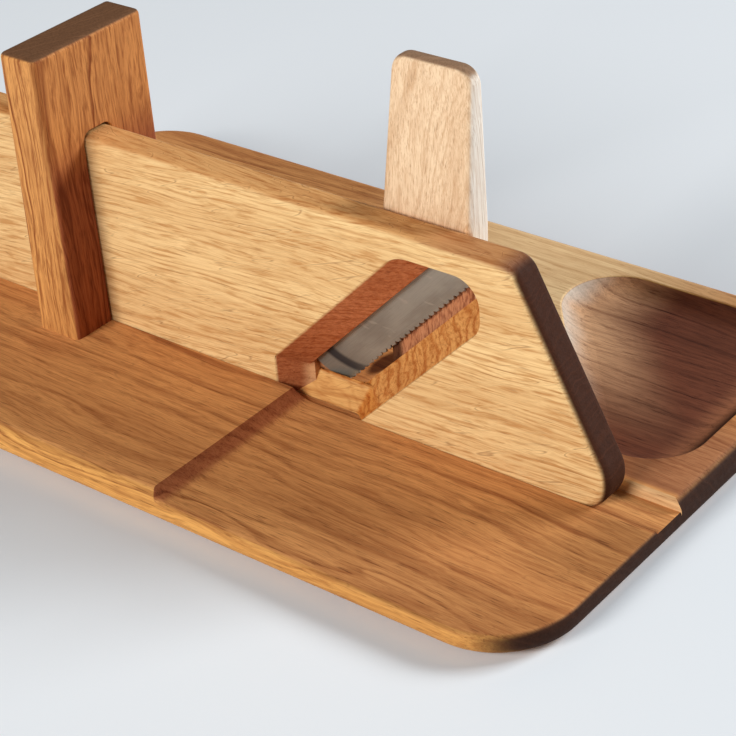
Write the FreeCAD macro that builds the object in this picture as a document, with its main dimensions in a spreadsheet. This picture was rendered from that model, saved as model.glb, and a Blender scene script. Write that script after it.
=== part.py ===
import FreeCAD, Part
import math
import os
import re

import Sketcher

# Manual salami slicer: an oak board, two uprights and a sliding plank that carries a toothed blade.
# X runs along the plank to its nose, Y from the front to the back, Z up. The origin lies on the
# table, under the middle of the board. Everything is in millimetres, in the pose of rest.

SIZES = {
    # Board
    "base_length": 466,
    "base_width": 290,
    "board_thickness": 16,
    "board_corner_radius": 40,
    "board_edge_radius": 6,
    # Groove, and the plank's place in the board
    "plank_setback": 102,
    "groove_depth": 5.5,
    "groove_side_gap": 0.4,
    "plank_floor_gap": 0.3,
    # Tray at the front, where the slices fall
    "tray_length": 201.6,
    "tray_depth": 4.5,
    "tray_cove_radius": 18,
    "tray_edge_radius": 3,
    "tray_lip_radius": 3,
    # Dish at the right rear
    "dish_length": 126.5,
    "dish_end_margin": 15,
    "dish_left_width": 38.023,
    "dish_front_length": 46.912,
    "dish_back_margin": 13.5,
    "dish_fence_margin": 5,
    "dish_depth": 7,
    "dish_corner_radius": 28,
    "dish_cove_radius": 18,
    "dish_rim_radius": 1.2,
    # Gate, the left upright
    "gate_setback": 146,
    "gate_thickness": 27,
    "gate_top_thickness": 23,
    "gate_front_leg": 25,
    "gate_rear_leg": 30.5,
    "gate_height": 150,
    "gate_side_gap": 0.6,
    "gate_head_gap": 1,
    "gate_slot_radius": 5,
    "gate_edge_radius": 3,
    "gate_slot_edge_radius": 0.8,
    # Fence, the right upright
    "fence_reach": 163.9,
    "fence_width": 48.6,
    "fence_thickness": 12,
    "fence_gap": 0.7,
    "fence_waist": 100,
    "fence_height": 172,
    "fence_front_lean": 0.138,
    "fence_rear_lean": 0.034,
    "fence_side_taper": 0.0375,
    "fence_top_radius": 9,
    "fence_edge_radius": 3,
    # Plank
    "plank_thickness": 18,
    "plank_rise": 102,
    "nose_reach": 300.1,
    "nose_slope": 0.52,
    "nose_tip_radius": 17,
    "nose_top_radius": 10,
    "tail_reach": 142,
    "tail_top_radius": 28,
    "tail_bottom_radius": 10,
    "plank_edge_radius": 4.5,
    "plank_foot_trim": 3.5,
    "hand_hole_margin": 20,
    "hand_hole_width": 28,
    "hand_hole_height": 70,
    "hand_hole_rise": 50,
    "hand_hole_edge_radius": 3,
    # Window in the plank. Its slanted lines rise to the right at 45 degrees, and a cut is named by
    # how far right of the gate its line would meet the board's top.
    "window_heel": 107.9,
    "window_upper_cut": 94.1,
    "window_top": 90,
    "window_right": 229.9,
    "window_lower_cut": 164,
    "window_heel_slope": 0.5,
    "window_heel_run": 17.5,
    "window_heel_radius": 9,
    "window_peak_radius": 19,
    "window_shoulder_radius": 13.5,
    # Section through the window, measured square to the slanted lines
    "ramp_run": 13.4,
    "ramp_slope": 0.584,
    "teeth_run": 30.8,
    "blade_angle": 20,
    "bed_setback": 1.2,
    "throat_width": 4.9,
    # Chute at the window's foot
    "chute_foot": 4.2,
    "chute_crest_depth": 12,
    "chute_crest_rise": 6.4,
    "chute_crest_width": 1,
    "chute_drop_run": 1.5,
    "chute_sill_rise": 2.6,
    "chute_crest_radius": 1.4,
    "chute_blend_radius": 7,
    # Thinned land on the plank's back, which sets the slice
    "slice_thickness": 1.2,
    "land_low": 3,
    "land_high": 97,
    "land_end_margin": 6,
    # Blade
    "blade_width": 31.7,
    "blade_thickness": 1.2,
    "blade_start": 97,
    "blade_length": 111,
    "blade_tip_flat": 3.7,
    "blade_tip_slant": 3,
    "blade_tip_run": 9,
    "blade_corner_radius": 3,
    "tooth_pitch": 4.1,
    "tooth_depth": 1.9,
    "tooth_notch_width": 3.2,
    "blade_bevel": 0.7,
    "blade_end_gap": 1.4,
    "blade_tip_gap": 3.6,
    "kerf_gap": 0.1,
    # Travel of the plank from rest, and its stop
    "travel_left": 105,
    "travel_right": 34,
    "pin_reach": 70,
    "pin_diameter": 6,
    "pin_seat": 10,
    "pin_height": 7,
    "stop_slot_gap": 1,
    "stop_slot_rise": 4.8,
    "stop_gap": 1,
    # Fasteners
    "fit_gap": 0.02,
    "screw_diameter": 5,
    "screw_head_diameter": 8.5,
    "screw_head_height": 5,
    "screw_socket_width": 4,
    "screw_socket_depth": 2.5,
    "screw_engagement": 9.5,
    "screw_hole_gap": 0.2,
    "counterbore_gap": 0.5,
    "counterbore_depth": 6.5,
    "washer_diameter": 10,
    "washer_thickness": 1,
    "insert_diameter": 8,
    "insert_length": 12,
    "insert_tip_gap": 0.5,
    "dowel_diameter": 6,
    "dowel_board_depth": 10,
    "dowel_leg_depth": 13,
    "dowel_chamfer": 0.7,
    "gate_screw_inset": 18,
    "gate_dowel_inset": 7,
    "fence_screw_inset": 9.5,
    "blade_screw_inset": 5.3084,
    "blade_screw_cover": 1.496,
    "blade_screw_diameter": 3,
    "blade_screw_head": 5.6,
    "blade_screw_sink": 0.1,
    "blade_screw_tip": 1.6,
    "blade_screw_slot_width": 0.7,
    "blade_screw_slot_length": 3,
    "blade_screw_slot_depth": 1.1,
    "blade_screw_start": 23.5,
    "blade_screw_pitch": 65,
    "blade_hole_gap": 0.3,
    # Feet
    "foot_height": 2,
    "foot_diameter": 14,
    "foot_edge_radius": 0.8,
    "foot_stem_diameter": 6,
    "foot_stem_length": 6,
    "foot_inset": 38,
}

# Lines and faces that several pieces share
TOP = "(foot_height + board_thickness)"
PLANK_FRONT = "(plank_setback - base_width / 2)"
PLANK_BACK = f"({PLANK_FRONT} + plank_thickness)"
GROOVE_FLOOR = f"({TOP} - groove_depth)"
TRAY_FLOOR = f"({TOP} - tray_depth)"
GROOVE_BACK = f"({PLANK_BACK} + groove_side_gap)"
PLANK_BOTTOM = f"({GROOVE_FLOOR} + plank_floor_gap)"
PLANK_TOP = f"({TOP} + plank_rise)"
GATE_RIGHT = "(gate_setback - base_length / 2)"
GATE_FRONT = f"({PLANK_FRONT} - gate_front_leg)"
GATE_BACK = f"({PLANK_BACK} + gate_rear_leg)"
FENCE_LEFT = f"({GATE_RIGHT} + fence_reach)"
FENCE_RIGHT = f"({FENCE_LEFT} + fence_width)"
FENCE_FRONT = f"({PLANK_BACK} + fence_gap)"
FENCE_BACK = f"({FENCE_FRONT} + fence_thickness)"
TRAY_EDGE = "(base_length / 2 - tray_length)"
PIN_X = f"({GATE_RIGHT} - pin_reach)"
PLANK_MIDDLE = f"({PLANK_FRONT} + plank_thickness / 2)"
BLADE_TAN = "tan(blade_angle * 1 deg)"
BLADE_TIP_RADIUS = "(blade_width - blade_tip_run - blade_tip_flat)"
BLADE_SCREW_RUN = "(teeth_run - (blade_width - blade_screw_inset) * cos(blade_angle * 1 deg))"
BLADE_SCREW_LENGTH = f"(plank_thickness - {BLADE_SCREW_RUN} * ramp_slope - blade_screw_cover)"

# How far the cutting tools run past the faces that they cut
OVERRUN = 2

doc = FreeCAD.newDocument("salami_slicer")
sheet = doc.addObject("Spreadsheet::Sheet", "Sizes")
for row, (name, number) in enumerate(SIZES.items(), start=1):
    sheet.set(f"A{row}", name)
    sheet.set(f"B{row}", str(number))
    sheet.setAlias(f"B{row}", name)
doc.recompute()


def formula(text):
    """The text with each name of the sheet written the way expressions need it."""
    return re.sub(r"[a-z_]+", lambda m: f"Sizes.{m[0]}" if m[0] in SIZES else m[0], str(text))


def value(text):
    """What a formula comes to now."""
    return float(sheet.evalExpression(formula(text)))


def bind(item, **formulas):
    """Ties properties of an object to formulas."""
    for prop, text in formulas.items():
        item.setExpression(prop, formula(text))


def place(item, x=0, y=0, z=0, axis=None, angle=0):
    """Places an object by formulas, turned about one axis."""
    if axis:
        item.Placement = FreeCAD.Placement(FreeCAD.Vector(), FreeCAD.Rotation(axis, angle))
    for letter, text in zip("xyz", (x, y, z)):
        item.setExpression(f"Placement.Base.{letter}", formula(text))


def body(name):
    """An empty body with its label."""
    item = doc.addObject("PartDesign::Body", name)
    item.Label = name
    return item


def sketch_on(host, plane, lift=0):
    """An empty sketch on an origin plane of the body, lifted along the plane's normal."""
    sketch = host.newObject("Sketcher::SketchObject", f"{host.Name}_sketch")
    support = next(f for f in host.Origin.OriginFeatures if f.Role == plane)
    sketch.AttachmentSupport = (support, [""])
    sketch.MapMode = "FlatFace"
    sketch.setExpression("AttachmentOffset.Base.z", formula(lift))
    return sketch


def hold(sketch, kind, geometry, point, text):
    """Holds one coordinate of a sketch point at a formula."""
    number = value(text)
    index = sketch.addConstraint(Sketcher.Constraint(kind, -1, 1, geometry, point, number))
    sketch.renameConstraint(index, f"{kind}_{index}")
    sketch.setExpression(f"Constraints.{kind}_{index}", formula(text))


def polygon(host, plane, corners, lift=0):
    """A closed outline whose corners are held by formulas."""
    sketch = sketch_on(host, plane, lift)
    points = [FreeCAD.Vector(value(u), value(v), 0) for u, v in corners]
    count = len(points)
    for i in range(count):
        sketch.addGeometry(Part.LineSegment(points[i], points[(i + 1) % count]), False)
    for i in range(count):
        sketch.addConstraint(Sketcher.Constraint("Coincident", i, 2, (i + 1) % count, 1))
    for i, (u, v) in enumerate(corners):
        hold(sketch, "DistanceX", i, 1, u)
        hold(sketch, "DistanceY", i, 1, v)
    return sketch


def rectangle(host, plane, u0, v0, u1, v1, lift=0):
    """A rectangular outline between two corners."""
    return polygon(host, plane, [(u0, v0), (u1, v0), (u1, v1), (u0, v1)], lift)


def pad(host, sketch, length, backwards=False):
    """A pad of the sketch along its normal, or against it."""
    feature = host.newObject("PartDesign::Pad", f"{host.Name}_pad")
    feature.Profile = sketch
    feature.Reversed = backwards
    bind(feature, Length=length)
    doc.recompute()
    return feature


def pocket(host, sketch, length, forwards=False):
    """A pocket against the sketch's normal, or along it, which has to take something away."""
    before = host.Tip.Shape.Volume
    feature = host.newObject("PartDesign::Pocket", f"{host.Name}_pocket")
    feature.Profile = sketch
    feature.Reversed = forwards
    bind(feature, Length=length)
    doc.recompute()
    if not feature.Shape.Volume < before:
        raise RuntimeError(f"{host.Label}: the pocket takes nothing away")
    return feature


def combine(host, kind, tools):
    """A boolean of the body with other bodies: Cut, Common or Fuse."""
    before = host.Tip.Shape.Volume
    feature = host.newObject("PartDesign::Boolean", f"{host.Name}_{kind}")
    feature.Type = kind
    feature.Group = tools
    doc.recompute()
    if abs(feature.Shape.Volume - before) < 1e-6:
        raise RuntimeError(f"{host.Label}: the boolean changes nothing")
    return feature


def round_edges(host, radius, wanted):
    """Rounds the edges of the body that the test picks."""
    base = host.Tip
    names = [f"Edge{i}" for i, e in enumerate(base.Shape.Edges, start=1) if wanted(e)]
    if not names:
        raise RuntimeError(f"{host.Label}: no edge to round")
    feature = host.newObject("PartDesign::Fillet", f"{host.Name}_fillet")
    feature.Base = (base, names)
    bind(feature, Radius=radius)
    doc.recompute()
    return feature


def at(number, text):
    """Whether a coordinate is where the formula says."""
    return abs(number - value(text)) < 0.01


def flat(edge, letter, text):
    """Whether an edge lies in the plane of one coordinate."""
    box = edge.BoundBox
    low = getattr(box, f"{letter}Min")
    high = getattr(box, f"{letter}Max")
    return at(low, text) and at(high, text)


def along(edge, letter):
    """Whether an edge is straight and runs along one axis."""
    box = edge.BoundBox
    lengths = {"X": box.XLength, "Y": box.YLength, "Z": box.ZLength}
    return lengths.pop(letter) > 0.1 and max(lengths.values()) < 0.01


def at_corner(edge, corner):
    """Whether an edge runs along Y through a corner of an outline."""
    x, z = corner
    return along(edge, "Y") and flat(edge, "X", x) and flat(edge, "Z", z)


def flat_in_y(edge):
    """Whether an edge keeps one place in Y."""
    return edge.BoundBox.YLength < 0.01


def outer(edge):
    """Whether an edge lies on the outer outline of the board."""
    box = edge.BoundBox
    half_length = value("base_length / 2")
    half_width = value("base_width / 2")
    return max(abs(box.XMin), abs(box.XMax)) > half_length - 0.01 or (
        max(abs(box.YMin), abs(box.YMax)) > half_width - 0.01
    )


def turned(name, profile, x=0, y=0, z=0, axis=None, angle=0):
    """A body turned from half of its section, given as radius and height pairs."""
    item = body(name)
    sketch = polygon(item, "XZ_Plane", profile)
    feature = item.newObject("PartDesign::Revolution", f"{name}_turn")
    feature.Profile = sketch
    feature.ReferenceAxis = (sketch, ["V_Axis"])
    feature.Angle = 360
    place(item, x, y, z, axis, angle)
    doc.recompute()
    return item


def cylinder(name, diameter, height, x=0, y=0, z=0, axis=None, angle=0):
    """A plain round tool or pin."""
    item = doc.addObject("Part::Cylinder", name)
    bind(item, Radius=f"({diameter}) / 2", Height=height)
    place(item, x, y, z, axis, angle)
    return item


def group(name, pieces):
    """One node of several separate solids."""
    item = doc.addObject("Part::Compound", name)
    item.Label = name
    item.Links = pieces
    return item


# Where the fasteners stand, as formulas in the board's plane
GATE_LEG_MIDDLES = [
    f"{GATE_FRONT} + gate_front_leg / 2",
    f"{GATE_BACK} - gate_rear_leg / 2",
]
FENCE_MIDDLE = f"{FENCE_FRONT} + fence_thickness / 2"
SCREW_PLACES = [(f"{GATE_RIGHT} - gate_screw_inset", y) for y in GATE_LEG_MIDDLES] + [
    (f"{FENCE_LEFT} + fence_screw_inset", FENCE_MIDDLE),
    (f"{FENCE_RIGHT} - fence_screw_inset", FENCE_MIDDLE),
]
DOWEL_PLACES = [(f"{GATE_RIGHT} - gate_dowel_inset", y) for y in GATE_LEG_MIDDLES] + [
    (f"{FENCE_LEFT} + fence_width / 2", FENCE_MIDDLE)
]
FOOT_PLACES = [
    (f"{sx} * (base_length / 2 - foot_inset)", f"{sy} * (base_width / 2 - foot_inset)")
    for sx in (-1, 1)
    for sy in (-1, 1)
]
SCREW_SEAT = "(foot_height + counterbore_depth)"
SCREW_LENGTH = "(washer_thickness + board_thickness - counterbore_depth + screw_engagement)"


# Base board


def board_blank(name, height):
    """The board's outline with its round corners, raised to a height."""
    item = body(name)
    sketch = rectangle(
        item,
        "XY_Plane",
        "-base_length / 2",
        "-base_width / 2",
        "base_length / 2",
        "base_width / 2",
        "foot_height",
    )
    pad(item, sketch, height)
    round_edges(item, "board_corner_radius", lambda e: along(e, "Z"))
    return item


def tray_tool():
    """The wood that the tray takes away, with the rounded outer edges of its floor."""
    depth_left = "(tray_cove_radius - tray_depth)"
    cove_run = f"(tray_cove_radius - sqrt(tray_cove_radius ^ 2 - {depth_left} ^ 2))"
    scoop = body("tray_scoop")
    sketch = rectangle(
        scoop,
        "XZ_Plane",
        f"{TRAY_EDGE} - {cove_run}",
        TRAY_FLOOR,
        f"base_length / 2 + {OVERRUN}",
        f"{TOP} + tray_cove_radius",
        f"-base_width / 2 - {OVERRUN}",
    )
    pad(scoop, sketch, f"base_width + 2 * {OVERRUN}")
    left = f"{TRAY_EDGE} - {cove_run}"
    round_edges(
        scoop,
        "tray_cove_radius",
        lambda e: along(e, "Y") and flat(e, "X", left) and flat(e, "Z", TRAY_FLOOR),
    )
    floor = board_blank("tray_floor", "board_thickness")
    combine(floor, "Cut", [scoop])
    round_edges(
        floor,
        "tray_edge_radius",
        lambda e: along(e, "X")
        and flat(e, "Z", TRAY_FLOOR)
        and flat(e, "Y", "-base_width / 2"),
    )
    zone = body("tray_zone")
    sketch = rectangle(
        zone,
        "XY_Plane",
        TRAY_EDGE,
        f"-base_width / 2 - {OVERRUN}",
        f"base_length / 2 + {OVERRUN}",
        GROOVE_BACK,
        f"{TRAY_FLOOR} - tray_edge_radius - 1",
    )
    pad(zone, sketch, f"tray_depth + tray_edge_radius + 1 + {OVERRUN}")
    combine(zone, "Cut", [floor])
    return zone


def lip_tool():
    """Rounds the tray's rear lip, from the fence to the right end."""
    item = body("lip_tool")
    sketch = rectangle(
        item,
        "YZ_Plane",
        f"{GROOVE_BACK} - 1",
        f"{TOP} - tray_lip_radius",
        f"{GROOVE_BACK} + tray_lip_radius",
        f"{TOP} + 1",
        TRAY_EDGE,
    )
    pad(item, sketch, f"tray_length + {OVERRUN}")
    round_off = cylinder(
        "lip_round",
        "2 * tray_lip_radius",
        f"tray_length + 3 * {OVERRUN}",
        f"{TRAY_EDGE} - {OVERRUN}",
        f"{GROOVE_BACK} + tray_lip_radius",
        f"{TOP} - tray_lip_radius",
        FreeCAD.Vector(0, 1, 0),
        90,
    )
    combine(item, "Cut", [round_off])
    return item


def groove_tool():
    """The groove that guides the plank from end to end, a little deeper than the tray."""
    item = body("groove_tool")
    sketch = rectangle(
        item,
        "XY_Plane",
        f"-base_length / 2 - {OVERRUN}",
        f"{PLANK_FRONT} - groove_side_gap",
        f"base_length / 2 + {OVERRUN}",
        GROOVE_BACK,
        GROOVE_FLOOR,
    )
    pad(item, sketch, f"groove_depth + {OVERRUN}")
    return item


def dish_tool():
    """The dish at the right rear: a round cornered pan with coved walls and one slanted side."""
    spread = (
        "(dish_cove_radius - sqrt(dish_cove_radius ^ 2 - (dish_cove_radius - dish_depth) ^ 2))"
    )
    floor = f"{TOP} - dish_depth"
    item = body("dish_tool")
    left = "(base_length / 2 - dish_end_margin - dish_length)"
    right = "(base_length / 2 - dish_end_margin)"
    front = f"({FENCE_BACK} + dish_fence_margin)"
    back = "(base_width / 2 - dish_back_margin)"
    left_end = f"({back} - dish_left_width)"
    front_end = f"({right} - dish_front_length)"
    run = "(dish_length - dish_front_length)"
    rise = f"({left_end} - {front})"
    slant = f"sqrt({run} ^ 2 + {rise} ^ 2)"
    left_turn = f"(({slant} - {rise}) / {run})"
    front_turn = f"(({slant} - {run}) / {rise})"
    corners = [
        (f"{front_end} - {spread} * {front_turn}", f"{front} - {spread}"),
        (f"{right} + {spread}", f"{front} - {spread}"),
        (f"{right} + {spread}", f"{back} + {spread}"),
        (f"{left} - {spread}", f"{back} + {spread}"),
        (f"{left} - {spread}", f"{left_end} - {spread} * {left_turn}"),
    ]
    pad(item, polygon(item, "XY_Plane", corners, floor), f"dish_cove_radius + {OVERRUN}")
    left_room = f"(dish_left_width - 0.1) / (1 + {left_turn})"
    front_room = f"(dish_front_length - 0.1) / (1 + {front_turn})"
    corner_radius = f"min(dish_corner_radius; {left_room}; {front_room})"
    round_edges(item, f"{corner_radius} + {spread}", lambda e: along(e, "Z"))
    round_edges(item, "dish_cove_radius", lambda e: flat(e, "Z", floor))
    return item


def base_board():
    """The board with its tray, groove, dish and the holes for all that is fixed to it."""
    item = board_blank("base_board", "board_thickness")
    round_edges(
        item,
        "board_edge_radius",
        lambda e: flat(e, "Z", "foot_height") or flat(e, "Z", TOP),
    )
    combine(item, "Cut", [tray_tool(), groove_tool(), lip_tool(), dish_tool()])
    round_edges(
        item,
        "dish_rim_radius",
        lambda e: flat(e, "Z", TOP) and e.BoundBox.YMin > value(FENCE_BACK) and not outer(e),
    )
    holes = []
    for i, (x, y) in enumerate(SCREW_PLACES, start=1):
        profile = [
            (0, -1),
            ("washer_diameter / 2 + counterbore_gap", -1),
            ("washer_diameter / 2 + counterbore_gap", "counterbore_depth"),
            ("screw_diameter / 2 + screw_hole_gap", "counterbore_depth"),
            ("screw_diameter / 2 + screw_hole_gap", "board_thickness + 1"),
            (0, "board_thickness + 1"),
        ]
        holes.append(turned(f"screw_hole_{i}", profile, x, y, "foot_height"))
    for i, (x, y) in enumerate(DOWEL_PLACES, start=1):
        holes.append(
            cylinder(
                f"dowel_hole_{i}",
                "dowel_diameter + 2 * fit_gap",
                "dowel_board_depth + 1",
                x,
                y,
                f"{TOP} - dowel_board_depth",
            )
        )
    holes.append(
        cylinder(
            "pin_hole",
            "pin_diameter + 2 * fit_gap",
            "pin_seat + 1",
            PIN_X,
            PLANK_MIDDLE,
            f"{GROOVE_FLOOR} - pin_seat",
        )
    )
    for i, (x, y) in enumerate(FOOT_PLACES, start=1):
        holes.append(
            cylinder(
                f"foot_hole_{i}",
                "foot_stem_diameter + 2 * fit_gap",
                "foot_stem_length + 1",
                x,
                y,
                "foot_height - 1",
            )
        )
    combine(item, "Cut", holes)
    return item


# Uprights


def foot_holes(name, screws, dowels):
    """Holes in an upright's foot for its inserts and dowels."""
    holes = []
    for i, (x, y) in enumerate(screws, start=1):
        depth = "insert_length + insert_tip_gap + 1"
        width = "insert_diameter + 2 * fit_gap"
        holes.append(cylinder(f"{name}_insert_hole_{i}", width, depth, x, y, f"{TOP} - 1"))
    for i, (x, y) in enumerate(dowels, start=1):
        depth = "dowel_leg_depth + insert_tip_gap + 1"
        width = "dowel_diameter + 2 * fit_gap"
        holes.append(cylinder(f"{name}_dowel_hole_{i}", width, depth, x, y, f"{TOP} - 1"))
    return holes


def gate():
    """The left upright: a tapered block with a slot from below for the plank."""
    item = body("gate")
    slim = "(gate_thickness - gate_top_thickness) / 2"
    top = f"{TOP} + gate_height"
    head = f"{PLANK_TOP} + gate_head_gap"
    outline = [
        (f"{GATE_RIGHT} - gate_thickness", TOP),
        (GATE_RIGHT, TOP),
        (f"{GATE_RIGHT} - {slim}", top),
        (f"{GATE_RIGHT} - gate_thickness + {slim}", top),
    ]
    pad(item, polygon(item, "XZ_Plane", outline, f"-{GATE_BACK}"), f"{GATE_BACK} - {GATE_FRONT}")
    slot = rectangle(
        item,
        "YZ_Plane",
        f"{PLANK_FRONT} - gate_side_gap",
        f"{TOP} - 1",
        f"{PLANK_BACK} + gate_side_gap",
        head,
        f"{GATE_RIGHT} + 1",
    )
    pocket(item, slot, "gate_thickness + 2")
    round_edges(item, "gate_slot_radius", lambda e: flat(e, "Z", head) and flat_in_y(e))
    round_edges(
        item,
        "gate_slot_edge_radius",
        lambda e: value(GATE_FRONT) + 1 < e.BoundBox.YMin
        and e.BoundBox.YMax < value(GATE_BACK) - 1
        and e.BoundBox.ZMax < value(head) + 0.01
        and e.BoundBox.ZLength + e.BoundBox.YLength > 0.1
        and not flat(e, "Z", TOP),
    )
    round_edges(
        item,
        "gate_edge_radius",
        lambda e: not flat(e, "Z", TOP)
        and (flat(e, "Y", GATE_FRONT) or flat(e, "Y", GATE_BACK) or flat(e, "Z", top)),
    )
    combine(item, "Cut", foot_holes("gate", SCREW_PLACES[:2], DOWEL_PLACES[:2]))
    return item


def fence():
    """The right upright: a tapering paddle whose upper part leans back."""
    rise = "(fence_height - fence_waist)"
    top = f"{TOP} + fence_height"
    waist = f"{TOP} + fence_waist"
    item = body("fence")
    side = [
        (FENCE_FRONT, TOP),
        (FENCE_BACK, TOP),
        (f"{FENCE_BACK} + fence_rear_lean * fence_height", top),
        (f"{FENCE_FRONT} + fence_front_lean * {rise}", top),
        (FENCE_FRONT, waist),
    ]
    pad(item, polygon(item, "YZ_Plane", side, FENCE_LEFT), "fence_width")
    face = body("fence_face")
    taper = f"fence_side_taper * {rise}"
    outline = [
        (f"{FENCE_LEFT} - 1", f"{TOP} - 1"),
        (f"{FENCE_RIGHT} + 1", f"{TOP} - 1"),
        (f"{FENCE_RIGHT} + 1", f"{waist} - 1 / fence_side_taper"),
        (f"{FENCE_RIGHT} - {taper}", top),
        (f"{FENCE_LEFT} + {taper}", top),
        (f"{FENCE_LEFT} - 1", f"{waist} - 1 / fence_side_taper"),
    ]
    depth = f"fence_thickness + fence_front_lean * {rise} + 2 * {OVERRUN}"
    pad(face, polygon(face, "XZ_Plane", outline, f"-{FENCE_FRONT} + {OVERRUN} - ({depth})"), depth)
    combine(item, "Common", [face])
    round_edges(item, "fence_top_radius", lambda e: along_thickness(e) and at(e.BoundBox.ZMax, top))
    round_edges(
        item,
        "fence_edge_radius",
        lambda e: not (flat(e, "Z", TOP) or flat(e, "Z", waist) or along_thickness(e)),
    )
    combine(item, "Cut", foot_holes("fence", SCREW_PLACES[2:], DOWEL_PLACES[2:]))
    return item


def along_thickness(edge):
    """Whether a straight edge runs mostly along Y."""
    box = edge.BoundBox
    return box.YLength > 1 and box.XLength < 0.01 and box.ZLength < 0.01


# Plank


def window_frame(item):
    """Turns a body to the window: its X across the slant, its Y into the plank, its Z up the slant."""
    half_cut = "window_upper_cut / 2"
    place(
        item,
        f"{GATE_RIGHT} + {half_cut}",
        PLANK_FRONT,
        f"{TOP} - {half_cut}",
        FreeCAD.Vector(0, 1, 0),
        45,
    )


def window_tool():
    """The hollow of the window: its outline, its section, and the wood left for the chute."""
    outline = body("window_tool")
    low = f"{PLANK_BOTTOM} - plank_foot_trim - {OVERRUN}"
    fall = f"({TOP} - ({low}))"
    corners = [
        (f"{GATE_RIGHT} + window_heel", low),
        (f"{GATE_RIGHT} + window_heel", f"{TOP} + window_heel - window_upper_cut"),
        (f"{GATE_RIGHT} + window_upper_cut + window_top", f"{TOP} + window_top"),
        (f"{GATE_RIGHT} + window_right", f"{TOP} + window_top"),
        (f"{GATE_RIGHT} + window_right", f"{TOP} + window_right - window_lower_cut"),
        (f"{GATE_RIGHT} + window_lower_cut - {fall}", low),
    ]
    depth = f"plank_thickness + 2 * {OVERRUN}"
    pad(outline, polygon(outline, "XZ_Plane", corners, f"-{PLANK_BACK} - {OVERRUN}"), depth)
    radii = ["window_heel_radius", "window_peak_radius"] + 2 * ["window_shoulder_radius"]
    for corner, radius in zip(corners[1:5], radii):
        round_edges(outline, radius, lambda e, corner=corner: at_corner(e, corner))
    section = body("window_section")
    window_frame(section)
    bed_edge = "teeth_run - bed_setback"
    flare_run = "((window_lower_cut - window_upper_cut) / sqrt(2) - teeth_run - throat_width)"
    flare_step = f"{flare_run} / plank_thickness * {OVERRUN}"
    throat = "teeth_run + throat_width"
    profile = [
        (f"-{OVERRUN} / ramp_slope", f"-{OVERRUN}"),
        ("ramp_run", "ramp_run * ramp_slope"),
        ("ramp_run", f"plank_thickness - (teeth_run - ramp_run) * {BLADE_TAN}"),
        (bed_edge, f"plank_thickness - bed_setback * {BLADE_TAN}"),
        (bed_edge, f"plank_thickness + {OVERRUN}"),
        (f"{throat} - {flare_step}", f"plank_thickness + {OVERRUN}"),
        (f"{throat} + {flare_run} + {flare_step}", f"-{OVERRUN}"),
    ]
    pad(section, polygon(section, "XY_Plane", profile), "window_right + window_top")
    combine(outline, "Common", [section])
    chute = body("chute")
    crest = f"{TOP} + chute_crest_rise"
    sill = f"{TOP} + chute_sill_rise"
    side = [
        (f"{PLANK_FRONT} + chute_foot", PLANK_BOTTOM),
        (f"{PLANK_FRONT} + chute_crest_depth", crest),
        (f"{PLANK_FRONT} + chute_crest_depth + chute_crest_width", crest),
        (f"{PLANK_FRONT} + chute_crest_depth + chute_crest_width + chute_drop_run", sill),
        (f"{PLANK_BACK} + 2 * {OVERRUN}", sill),
        (f"{PLANK_BACK} + 2 * {OVERRUN}", PLANK_BOTTOM),
    ]
    start = f"{GATE_RIGHT} + window_heel - {OVERRUN}"
    pad(chute, polygon(chute, "YZ_Plane", side, start), "window_right - window_heel")
    combine(outline, "Cut", [chute, heel_wood()])
    foot = FreeCAD.Vector(0, value(f"{PLANK_FRONT} + chute_foot"), value(PLANK_BOTTOM))
    head = FreeCAD.Vector(0, value(f"{PLANK_FRONT} + chute_crest_depth"), value(crest))
    slope = FreeCAD.Vector(1, 0, 0).cross(head - foot).normalize()
    heel = value(f"{GATE_RIGHT} + window_heel") + 1

    def where_chute_meets_flare(edge):
        ends = [v.Point for v in edge.Vertexes]
        return (
            edge.Length > 1
            and all(abs(slope.dot(p - foot)) < 0.05 for p in ends)
            and all(p.x > heel for p in ends)
            and abs(ends[0].z - ends[-1].z) > 1
            and min(p.x for p in ends) > value(f"{GATE_RIGHT} + (window_heel + window_lower_cut) / 2")
        )

    round_edges(outline, "chute_blend_radius", where_chute_meets_flare)
    round_edges(
        outline,
        "chute_crest_radius",
        lambda e: along(e, "X")
        and flat(e, "Z", crest)
        and flat(e, "Y", f"{PLANK_FRONT} + chute_crest_depth"),
    )
    return outline


def heel_wood():
    """The wood left at the window's heel, which slopes in as the ramp does."""
    item = body("heel_wood")
    heel = f"{GATE_RIGHT} + window_heel"
    end = f"{heel} + window_heel_run"
    profile = [
        (f"{heel} - {OVERRUN} / window_heel_slope", f"{PLANK_FRONT} - {OVERRUN}"),
        (end, f"{PLANK_FRONT} + window_heel_run * window_heel_slope"),
        (end, f"{PLANK_BACK} + 2 * {OVERRUN}"),
        (f"{heel} - {OVERRUN} / window_heel_slope", f"{PLANK_BACK} + 2 * {OVERRUN}"),
    ]
    sketch = polygon(item, "XY_Plane", profile, f"{PLANK_BOTTOM} - plank_foot_trim - 2 * {OVERRUN}")
    pad(item, sketch, "window_top")
    return item


def in_blade_plane(sketch):
    """Lays a sketch of the window's frame in the blade's rear face, Y of the sketch up the slant."""
    turn = FreeCAD.Rotation(FreeCAD.Vector(0, 1, 0), value("blade_angle"))
    sketch.AttachmentOffset = FreeCAD.Placement(FreeCAD.Vector(), turn)
    sketch.setExpression("AttachmentOffset.Base.x", formula("teeth_run"))
    sketch.setExpression("AttachmentOffset.Base.z", formula("-plank_thickness"))
    sketch.setExpression("AttachmentOffset.Rotation.Angle", formula("blade_angle"))


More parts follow.
